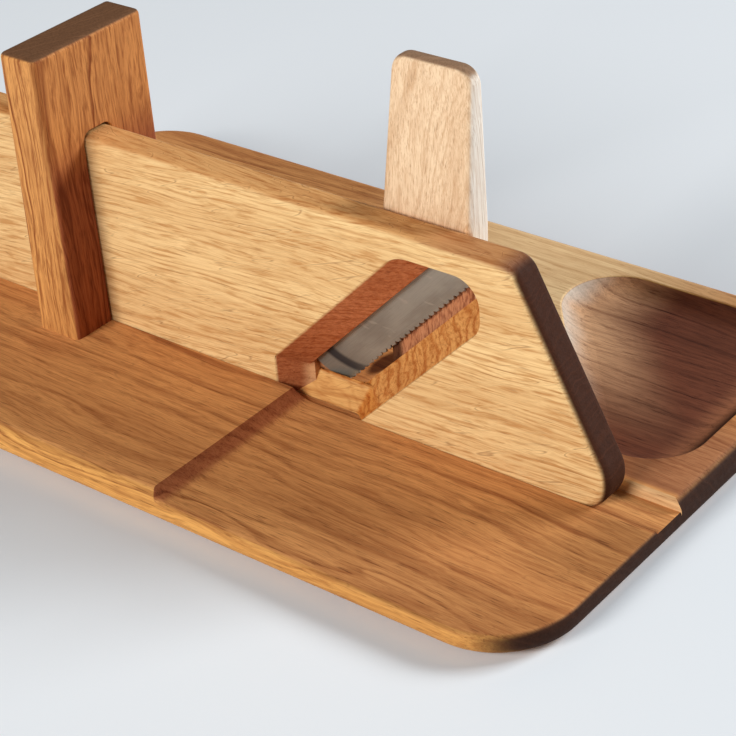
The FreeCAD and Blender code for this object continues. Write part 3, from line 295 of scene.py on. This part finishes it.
def oak(
    name, turn, pith, pale, ring, pore, end, *, seed, ring_gap, ring_depth, pore_depth,
    ring_width=0.6, band=0.5, fibre=0.3, dash=0.0, dash_scale=0.7, figure=0.0, figure_turn=0.0,
    end_from=0.45, end_full=0.78, shades=None,
):
    """Oiled oak as a solid texture: rings round a pith, long pores, ray flecks, dark end grain.

    turn brings the grain to the X axis, and pith is where the tree's middle lies across it, in mm.
    pale and ring are the palest and the darkest wood, pore is for pores and end for end grain.
    ring_gap is in mm, and ring_width is the part of it over which a ring fades. ring_depth,
    pore_depth, band, fibre, dash and figure say how far rings, pores, broad bands, fibres, strokes
    and ray flecks take their colour. dash_scale is a stroke's noise per mm across the grain, and
    figure_turn turns the flecks. A face is end grain as far as its normal's part along the grain
    has come from end_from to end_full. shades gives the faces and places that look unlike the rest.
    """
    g = Graph(name)
    mm, normal = g.surface()
    shift = seed * MM_PER_M  # along the grain, so that no two pieces show the same wood
    place = g.turned(mm, turn, shift)

    bent = place
    for kind, reach in (("wander", WANDER_REACH), ("ripple", RIPPLE_REACH)):
        bend = g.vector("SUBTRACT", g.oak_noise(kind, place, seed, "Color"), NOISE_MIDDLE)
        bent = g.vector("ADD", bent, g.vector("MULTIPLY", bend, (0.0, reach, reach)))

    # rings: each is darkest in its early wood, and they differ and fade here and there
    _, y, z = g.split(bent)
    out = g.join(0.0, g.math("SUBTRACT", y, pith[0]), g.math("SUBTRACT", z, pith[1]))
    radius = g.vector("LENGTH", out)
    drift = g.product(g.noise_along(radius, RING_DRIFT_SCALE, 2.0), RING_DRIFT)
    phase = g.math("ADD", g.math("DIVIDE", radius, ring_gap), drift)
    early = g.between(g.math("FRACT", phase), 0.0, RING_PEAK, RING_PEAK, ring_width)
    uneven = g.range(g.noise_along(phase, RING_CHANGE_SCALE, 1.0), 0.3, 0.7, 0.15, 1.0)
    fading = g.range(g.oak_noise("fading", bent, seed), 0.3, 0.62, 0.35, 1.0)
    early = g.product(early, uneven, fading)

    # pores: short dark lines along the grain, mostly in the early wood
    pores = g.math("MULTIPLY_ADD", early, 0.10, g.oak_noise("pores", place, seed))
    pores = g.range(pores, 0.60, 0.76)
    fine_pores = g.math("MULTIPLY_ADD", early, 0.06, g.oak_noise("fine_pores", place, seed))
    fine_pores = g.range(fine_pores, 0.58, 0.80)

    # broad bands, streaks, fibres, and strokes, which are short soft dashes of summer wood
    broad = g.oak_noise("broad", bent, seed)
    streak = g.oak_noise("streak", bent, seed)
    hair = g.oak_noise("hair", bent, seed)
    strokes = g.noise(bent, (STROKE_SCALE, dash_scale, dash_scale), (seed, 1.0, 8.0), 3.0, 0.55)

    # ray flecks: thin lines across the rings, nearly straight and broken up, in a paler glow
    tilted = g.turned(mm, (turn[0], turn[1] + figure_turn, turn[2]), shift)
    sheets = g.math("FRACT", g.product(g.oak_noise("fleck_sheet", tilted, seed), FLECK_LAYERS))
    ridge = g.math("ABSOLUTE", g.math("SUBTRACT", sheets, 0.5))
    broken = g.oak_noise("fleck_break", tilted, seed)
    fleck = g.product(g.range(ridge, 0.07, 0.0), g.range(broken, 0.50, 0.60))
    glow = g.product(g.range(ridge, 0.30, 0.08), g.range(broken, 0.50, 0.66))

    colour = pale
    for amount, taken in (
        (g.product(early, ring_depth), ring),
        (g.range(broad, 0.38, 0.68, 0.0, band), ring),
        (g.range(streak, 0.45, 0.75, 0.0, 0.35), ring),
        (g.range(hair, 0.42, 0.72, 0.0, fibre), ring),
        (g.range(strokes, 0.46, 0.70, 0.0, dash), ring),
        (g.range(hair, 0.46, 0.26, 0.0, fibre * 0.8), pale),
        (g.product(glow, figure * 0.6), pale),
        (g.product(fleck, figure * 0.7), pore),
        (g.product(fine_pores, pore_depth * 0.45), pore),
        (g.product(pores, pore_depth), pore),
    ):
        colour = g.mix(amount, colour, taken)

    # end grain drinks oil and goes dark
    cut = g.range(g.math("ABSOLUTE", g.split(g.turned(normal, turn))[0]), end_from, end_full)
    specks = g.oak_noise("specks", place, seed)
    dark = g.mix(g.range(specks, 0.35, 0.7, 0.0, 0.5), end, times(end, 0.5))
    dark = g.mix(g.product(early, 0.4), dark, times(end, 1.7))
    if shades is not None:
        tone = g.range(g.split(colour)[0], ring[0] * 0.8, pale[0] * 0.92, smooth=False)
        for mask, change, pale_ends in shades(g, mm, normal, specks):
            if len(change) == 2:
                changed = g.mix(tone, *change)
            else:
                changed = g.mix(1.0, colour, change, "MULTIPLY")
            colour = g.mix(mask, colour, changed)
            if pale_ends:
                cut = g.product(cut, g.math("SUBTRACT", 1.0, mask))
    colour = g.mix(cut, colour, dark)

    height = g.math("SUBTRACT", 1.0, g.math("MAXIMUM", pores, g.product(fine_pores, 0.5)))
    bump = g.bump(height, PORE_BUMP, 0.6)
    rough = g.math("ADD", g.range(streak, 0.3, 0.7, 0.50, 0.60), g.product(pores, 0.2))
    return g.finish(
        Base_Color=colour,
        Roughness=g.math("MULTIPLY_ADD", cut, 0.15, rough),
        Normal=g.bump(hair, FIBRE_BUMP, 0.5, bump),
        Specular_IOR_Level=OAK_SHINE,
    )


def plank_shades(g, mm, normal, specks):
    """Painted shade on the plank's redder top and in its red-lit window; a painted highlight on its
    back edge.
    """
    x, y, z = g.split(mm)
    _, ny, nz = g.split(normal)
    top = g.product(g.range(nz, *PLANK_TOP_TILT), g.range(z, *PLANK_TOP_Z))
    # a painted highlight along the plank's rounded back edge
    back_edge_highlight = g.product(
        g.range(ny, *BACK_EDGE_TILT), g.range(nz, *BACK_EDGE_TILT), g.range(z, *BACK_EDGE_Z)
    )
    inside = g.product(g.range(y, *WINDOW_Y), g.between(x, *WINDOW_X), g.range(z, *WINDOW_Z))
    across = g.vector("DOT_PRODUCT", normal, WINDOW_ACROSS)
    ramp = g.product(inside, g.range(across, *RAMP_TILT))
    flare = g.product(inside, g.range(across, *FLARE_TILT))
    sill = g.product(inside, g.range(z, *SILL_Z), g.range(nz, *SILL_TILT))
    heel_end = g.product(
        ramp, g.range(x, *HEEL_END_X), g.range(z, *HEEL_END_Z), g.range(nz, *HEEL_END_TILT)
    )
    wave = g.noise(mm, FLARE_WAVE_SCALE, FLARE_WAVE_OFFSET, 2.0, 0.55)
    along = g.vector("DOT_PRODUCT", mm, FLARE_LINES)
    lines = g.math("FRACT", g.math("MULTIPLY_ADD", wave, FLARE_WAVE, along))
    lines = g.product(g.between(lines, *FLARE_LINE_SHAPE), g.range(specks, 0.7, 0.4, 0.5, 1.0))
    mottle = g.product(g.range(specks, 0.4, 0.62), 0.5)
    return [
        # painted shade: the top is redder wood, darkened as if less lit, and darker still towards
        # the right and the nose
        shade(top, tint(0.82, 0.63, 0.50)),
        shade(g.product(top, g.range(x, *PLANK_NOSE_X)), tint(0.50, 0.46, 0.62)),
        shade(g.product(top, g.range(x, *PLANK_TOP_RIGHT_X)), tint(0.78, 0.72, 0.76)),
        shade(back_edge_highlight, tint(1.12, 1.35, 1.60)),
        # painted shade with a red cast of bounce light on the window's ramp, darker still towards
        # its bottom and lighter where the heel meets the sill; the mottle is the wood's own
        shade(ramp, tint(0.62, 0.30, 0.24), pale_ends=True),
        shade(g.product(ramp, g.range(z, *HEEL_Z)), tint(0.72, 0.68, 0.66)),
        shade(g.product(ramp, mottle), tint(0.62, 0.5, 0.5)),
        shade(heel_end, (srgb(178, 120, 82), srgb(216, 164, 116))),
        # painted red bounce light on the window's flared wall; its growth lines are the wood's own
        shade(flare, tint(0.80, 0.54, 0.34), pale_ends=True),
        shade(g.product(flare, lines), tint(0.72, 0.52, 0.38)),
        shade(sill, tint(0.92, 0.78, 0.58), pale_ends=True),
    ]


def gate_shades(g, mm, normal, specks):
    """The gate's sides are redder than its front with painted bounce light, and darker below with
    the plank's painted shadow.
    """
    side = g.range(g.math("ABSOLUTE", g.split(normal)[0]), *GATE_SIDE_TILT)
    low = g.range(g.split(mm)[2], *GATE_SHADOW_Z)
    return [
        # painted red bounce light on the gate's sides
        shade(side, tint(0.95, 0.82, 0.78)),
        # the plank's painted shadow on the lower part of the gate's sides
        shade(g.product(side, low), tint(0.58, 0.42, 0.56)),
    ]


def fence_shades(g, mm, normal, specks):
    """Painted shade with red bounce light on the fence's face behind the plank; a painted sheen on
    its pale side.
    """
    nx, ny, _ = g.split(normal)
    x, _, z = g.split(mm)
    shaded_face = g.product(g.range(z, *FENCE_SHADE_Z), g.range(ny, *FENCE_SHADE_TILT))
    side = g.product(g.range(nx, *FENCE_SHEEN_TILT), g.range(z, *FENCE_SHEEN_Z))
    return [
        # painted shade with a red cast of bounce light, mottled, on the fence's face behind the
        # plank
        shade(shaded_face, tint(0.62, 0.36, 0.26)),
        shade(g.product(shaded_face, g.range(specks, 0.45, 0.65)), tint(0.6, 0.5, 0.5)),
        # a painted sheen on the fence's side above the plank
        shade(side, tint(1.15, 1.42, 1.90)),
        # painted shade, near black, at the left edge of the face behind the plank, seen through the
        # throat
        shade(g.product(shaded_face, g.range(x, *FENCE_THROAT_SHADE_X)), tint(0.22, 0.20, 0.20)),
    ]


def board_shades(g, mm, normal, specks):
    """Sapwood and painted light at the board's rear; painted shade in its hollows and round the
    plank; painted sheens.
    """
    x, y, z = g.split(mm)
    nx, ny, nz = g.split(normal)
    wave = g.noise(mm, BOARD_WAVE_SCALE, BOARD_WAVE_OFFSET)

    edge = g.math("MULTIPLY_ADD", wave, SAPWOOD_AND_LIGHT_WAVE, y)
    # pale sapwood along the rear edge, paler with a painted pool of light that fades towards both
    # ends
    sapwood_and_light_pool = g.product(
        g.range(edge, *SAPWOOD_AND_LIGHT_Y), g.range(z, *TOP_Z), g.between(x, *SAPWOOD_AND_LIGHT_X)
    )
    # painted shade on the board's top right of the plank's nose
    nose_shade = g.product(
        g.range(x, *NOSE_SHADE_X), g.between(y, *NOSE_SHADE_Y), g.range(z, *SHADED_TOP_Z)
    )
    # painted shade on the board's top behind the plank, seen through the throat
    spot = g.vector("MULTIPLY", g.vector("SUBTRACT", mm, THROAT_SHADE_PLACE), THROAT_SHADE_SHAPE)
    throat_shade = g.product(
        g.range(g.vector("LENGTH", spot), *THROAT_SHADE_REACH), g.range(z, *SHADED_TOP_Z)
    )

    dish = g.product(g.between(x, *DISH_X), g.between(y, *DISH_Y), g.range(nz, *DISH_TILT))
    rim = g.product(dish, g.range(nx, *DISH_RIM_TILT))
    dish = g.product(dish, g.range(z, *HOLLOW_Z))
    from_slant = g.math("SUBTRACT", g.vector("DOT_PRODUCT", mm, SLANT_INWARD), SLANT_START)
    inward = g.math("MINIMUM", g.math("SUBTRACT", x, DISH_LEFT), from_slant)
    inward = g.math("MULTIPLY_ADD", wave, SHEEN_WAVE, inward)
    dish_sheen = g.product(dish, g.range(inward, *SHEEN_REACH), g.range(y, *SHEEN_Y))

    level = g.range(nz, *TRAY_TILT)
    tray_right_shade = g.product(g.range(x, *TRAY_RIGHT_X), g.between(y, *TRAY_RIGHT_Y), level)
    tray_front_shade = g.product(g.range(x, *TRAY_FRONT_X), g.range(y, *TRAY_FRONT_Y), level)
    tray_wall = g.product(
        g.range(nx, *TRAY_WALL_TILT), g.range(x, *TRAY_WALL_X), g.range(y, *TRAY_WALL_Y)
    )
    lit_groove_lip = g.product(g.range(ny, *GROOVE_LIP_TILT), g.between(y, *GROOVE_LIP_Y))
    return [
        shade(sapwood_and_light_pool, (srgb(206, 154, 102), srgb(254, 219, 166))),
        shade(g.range(ny, *FRONT_TILT), tint(1.04, 1.10, 0.86)),
        # painted shade on the tray's right part and on its front strip
        shade(tray_right_shade, tint(0.66, 0.63, 0.61)),
        shade(tray_front_shade, tint(0.78, 0.76, 0.76)),
        shade(throat_shade, tint(0.20, 0.14, 0.12)),
        shade(nose_shade, tint(0.62, 0.58, 0.74)),
        shade(rim, tint(1.0, 1.0, 1.0), pale_ends=True),
        # painted shade in the dish, lighter towards its right side
        shade(dish, (srgb(70, 37, 28), srgb(126, 74, 54))),
        shade(g.product(dish, g.range(x, *DISH_RIGHT_X)), (srgb(112, 68, 48), srgb(176, 116, 82))),
        # a painted sheen on the dish's floor near its left and slanted walls, whitest at the walls
        shade(dish_sheen, (srgb(146, 98, 70), srgb(232, 182, 138))),
        shade(
            g.product(dish_sheen, g.range(inward, *WHITE_SHEEN_REACH)),
            (srgb(184, 166, 148), srgb(222, 208, 192)),
        ),
        # painted light on the rounded lip of the groove
        shade(lit_groove_lip, (srgb(172, 120, 76), srgb(226, 180, 128))),
        # painted shade with a pink cast of sky light on the tray's end wall, whose end grain is not
        # darkened
        shade(tray_wall, tint(0.62, 0.45, 0.52), pale_ends=True),
    ]


def metal(name, colour, roughness, scale=2.0, turn=LYING):
    """A small turned or pressed part: fine marks, and a slow change of tone and polish."""
    g = Graph(name)
    mm, _ = g.surface()
    place = g.turned(mm, turn)
    marks = g.noise(place, (scale, scale, scale), detail=3.0, roughness=0.6)
    cloud = g.noise(place, (0.06, 0.06, 0.06))
    tone = g.mix(g.range(cloud, 0.35, 0.7), colour, times(colour, 0.82))
    tone = g.mix(g.range(marks, 0.45, 0.75, 0.0, 0.25), tone, times(colour, 0.6))
    polish = g.range(marks, 0.3, 0.7, roughness - 0.05, roughness + 0.07)
    return g.finish(
        Base_Color=tone,
        Metallic=1.0,
        Roughness=g.math("ADD", polish, g.range(cloud, 0.3, 0.7, 0.0, 0.08)),
        Normal=g.bump(marks, SCRATCH_BUMP, 0.5),
    )


def blade_steel(name):
    """The ground blade: scratches along its length, faint smears, darker near its round tip, and a
    painted shadow of the gap round it.
    """
    g = Graph(name)
    mm, _ = g.surface()
    place = g.turned(mm, BLADE_TURN)
    lines = g.noise(place, (0.06, 5.0, 5.0), detail=3.0, roughness=0.6)
    cloud = g.noise(place, (0.035, 0.08, 0.08), detail=3.0)
    smear = g.noise(g.turned(mm, SMEAR_TURN), (0.03, 0.3, 0.3))
    x, _, z = g.split(mm)
    centre_x, centre_z = TIP_GAP_SHADOW_CENTRE
    off = g.join(g.math("SUBTRACT", x, centre_x), 0.0, g.math("SUBTRACT", z, centre_z))
    low = g.range(g.vector("DOT_PRODUCT", mm, BLADE_ALONG), *BLADE_LOW_END)
    # a painted shadow of the dark gap between the blade's tip and its pocket
    tip_gap_shadow = g.product(g.between(g.vector("LENGTH", off), *TIP_GAP_SHADOW_REACH), low)
    tone = srgb(170, 170, 160)
    for amount, taken in (
        (g.range(cloud, 0.35, 0.7), srgb(148, 145, 134)),
        (g.range(lines, 0.45, 0.75, 0.0, 0.35), srgb(120, 116, 106)),
        (g.range(smear, 0.62, 0.72, 0.0, 0.35), srgb(196, 190, 176)),
        (g.product(low, 0.45), srgb(96, 94, 90)),
        (g.product(tip_gap_shadow, 0.9), srgb(34, 42, 54)),
    ):
        tone = g.mix(amount, tone, taken)
    polish = g.range(lines, 0.3, 0.7, 0.34, 0.46)
    return g.finish(
        Base_Color=tone,
        Metallic=0.5,
        Roughness=g.math("ADD", polish, g.range(cloud, 0.3, 0.7, 0.0, 0.08)),
        Normal=g.bump(lines, SCRATCH_BUMP, 0.5),
    )


def silicone(name):
    """Soft translucent grey rubber with a fine moulded grain and dust."""
    g = Graph(name)
    mm, _ = g.surface()
    grain = g.noise(mm, (4.0, 4.0, 4.0), detail=3.0)
    dust = g.noise(mm, (0.5, 0.5, 0.5), detail=3.0)
    return g.finish(
        Base_Color=g.mix(g.range(dust, 0.4, 0.7), srgb(206, 206, 200), srgb(176, 174, 166)),
        Roughness=g.range(grain, 0.3, 0.7, 0.5, 0.65),
        Normal=g.bump(grain, RUBBER_BUMP, 0.5),
        Subsurface_Weight=0.25,
    )


MATERIALS = {
    "base_board": oak(
        "oak_board", BOARD_TURN, (-160.0, -90.0),
        srgb(224, 160, 98), srgb(152, 86, 46), srgb(98, 52, 28), srgb(58, 34, 23),
        seed=1.7, ring_gap=5.0, ring_width=0.7, ring_depth=0.75, pore_depth=0.6, band=0.45,
        fibre=0.45, dash=0.45, dash_scale=0.75, figure=0.25, end_from=0.2, end_full=0.75,
        shades=board_shades,
    ),
    "gate": oak(
        "oak_gate", UPRIGHT, (40.0, 260.0),
        srgb(224, 160, 92), srgb(136, 72, 34), srgb(96, 48, 24), srgb(110, 76, 52),
        seed=5.3, ring_gap=3.8, ring_width=0.62, ring_depth=1.0, pore_depth=0.5, band=0.2,
        fibre=0.5, dash=0.7, dash_scale=0.6, shades=gate_shades,
    ),
    "fence": oak(
        "oak_fence", UPRIGHT, (300.0, 60.0),
        srgb(238, 208, 172), srgb(196, 152, 112), srgb(150, 104, 70), srgb(150, 118, 92),
        seed=9.1, ring_gap=2.8, ring_depth=0.6, pore_depth=0.45, band=0.3, fibre=0.75,
        shades=fence_shades,
    ),
    "slider": oak(
        "oak_plank", PLANK_TURN, (12.0, -320.0),
        srgb(242, 206, 148), srgb(190, 134, 76), srgb(138, 86, 44), srgb(70, 38, 23),
        seed=2.6, ring_gap=3.6, ring_width=0.5, ring_depth=0.8, pore_depth=0.4, band=0.25,
        fibre=0.4, dash=0.78, dash_scale=0.62, figure=0.75, figure_turn=radians(15),
        end_from=0.35, shades=plank_shades,
    ),
    "blade": blade_steel("ground_blade"),
    "blade_screws": metal("blade_screw_steel", srgb(188, 188, 190), 0.34),
    "frame_screws": metal("frame_screw_steel", srgb(176, 177, 180), 0.36),
    "frame_washers": metal("washer_steel", srgb(190, 191, 194), 0.32),
    "threaded_inserts": metal("insert_brass", srgb(204, 166, 92), 0.34),
    "locating_dowels": oak(
        "beech_dowels", UPRIGHT, (70.0, 50.0),
        srgb(222, 186, 142), srgb(204, 162, 116), srgb(168, 122, 80), srgb(160, 128, 98),
        seed=3.9, ring_gap=2.2, ring_depth=0.4, pore_depth=0.5,
    ),
    "stop_pin": metal("pin_steel", srgb(182, 183, 186), 0.28, 3.0, UPRIGHT),
    "feet": silicone("foot_silicone"),
}
for node, material in MATERIALS.items():
    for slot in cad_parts[node].material_slots:
        slot.material = material


def stage():
    """A pale table that runs far past the object."""
    signs = ((-1, -1), (1, -1), (1, 1), (-1, 1))
    corners = [Vector((x * TABLE_REACH, y * TABLE_REACH, 0)) for x, y in signs]
    mesh = bpy.data.meshes.new("table")
    mesh.from_pydata(corners, [], [(0, 1, 2, 3)])
    table = bpy.data.objects.new("table", mesh)
    bpy.context.scene.collection.objects.link(table)
    paint = Graph("table_paint")
    mesh.materials.append(
        paint.finish(Base_Color=srgb(232, 236, 240), Roughness=TABLE_ROUGHNESS)
    )


def area_light(name, place, size, power, colour):
    """A lamp with a rectangular face, turned to the object."""
    light = bpy.data.lights.new(name, "AREA")
    light.shape = "RECTANGLE"
    light.size, light.size_y = size
    light.energy = power
    light.color = colour
    lamp = bpy.data.objects.new(name, light)
    lamp.location = place
    ahead = Vector(LAMP_TARGET) - Vector(place)
    lamp.rotation_euler = ahead.to_track_quat("-Z", "Y").to_euler()
    bpy.context.scene.collection.objects.link(lamp)


def studio():
    """The lamps, and a dim pale blue sky that fills the shadows."""
    for lamp in LAMPS:
        area_light(*lamp)
    world = bpy.data.worlds.new("studio")
    bpy.context.scene.world = world
    world.use_nodes = True
    back = world.node_tree.nodes["Background"]
    back.inputs["Color"].default_value = SKY_COLOUR
    back.inputs["Strength"].default_value = SKY_STRENGTH


def camera():
    """The photograph's view. The columns of its turn are its right, its up and its back."""
    right = Vector(CAMERA_RIGHT).normalized()
    ahead = Vector(CAMERA_AHEAD).normalized()
    up = right.cross(ahead).normalized()
    data = bpy.data.cameras.new("camera")
    data.lens = CAMERA_LENS_MM
    data.sensor_width = CAMERA_SENSOR_MM
    data.clip_start = CAMERA_NEAREST
    item = bpy.data.objects.new("camera", data)
    turn = Matrix([(right[i], up[i], -ahead[i]) for i in range(3)])
    item.matrix_world = Matrix.Translation(CAMERA_PLACE) @ turn.to_4x4()
    bpy.context.scene.collection.objects.link(item)
    bpy.context.scene.camera = item


stage()
studio()
camera()
bpy.context.scene.view_settings.view_transform = "Standard"
